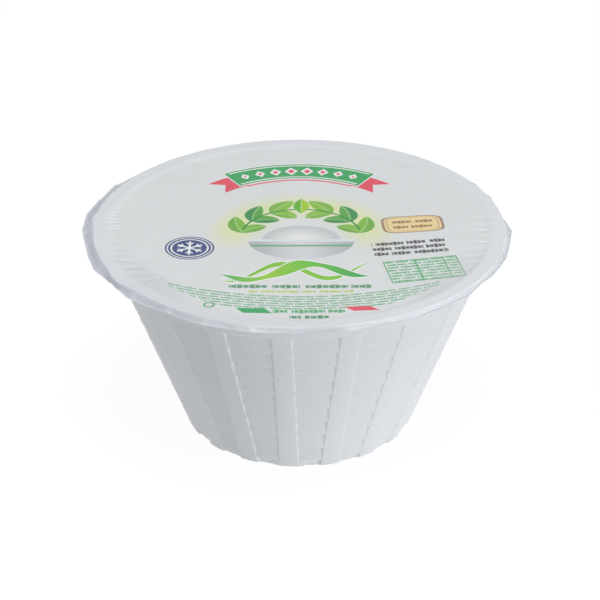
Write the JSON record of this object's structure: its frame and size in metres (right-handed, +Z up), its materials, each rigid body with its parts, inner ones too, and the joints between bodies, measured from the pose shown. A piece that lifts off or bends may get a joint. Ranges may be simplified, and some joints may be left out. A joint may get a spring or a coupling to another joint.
{
  "type": "ricotta in basket",
  "caption": "Ricotta in a white basket-shaped tapering plastic tub, shut with a printed film heat-sealed on its flange.",
  "frame": {"origin": "centre of the tub's flat base, on the surface that it stands on", "axes": "+Z up along the tub's axis, -Y towards the shown front, +X to its right"},
  "size_m": [0.2, 0.1947, 0.0981],
  "materials": {
    "white_tub": "white moulded polypropylene, satin",
    "sealing_film": "whitish printed film, satin gloss"
  },
  "bodies": {
    "root": {"tub": "white_tub", "film": "sealing_film"}
  },
  "joints": []
}
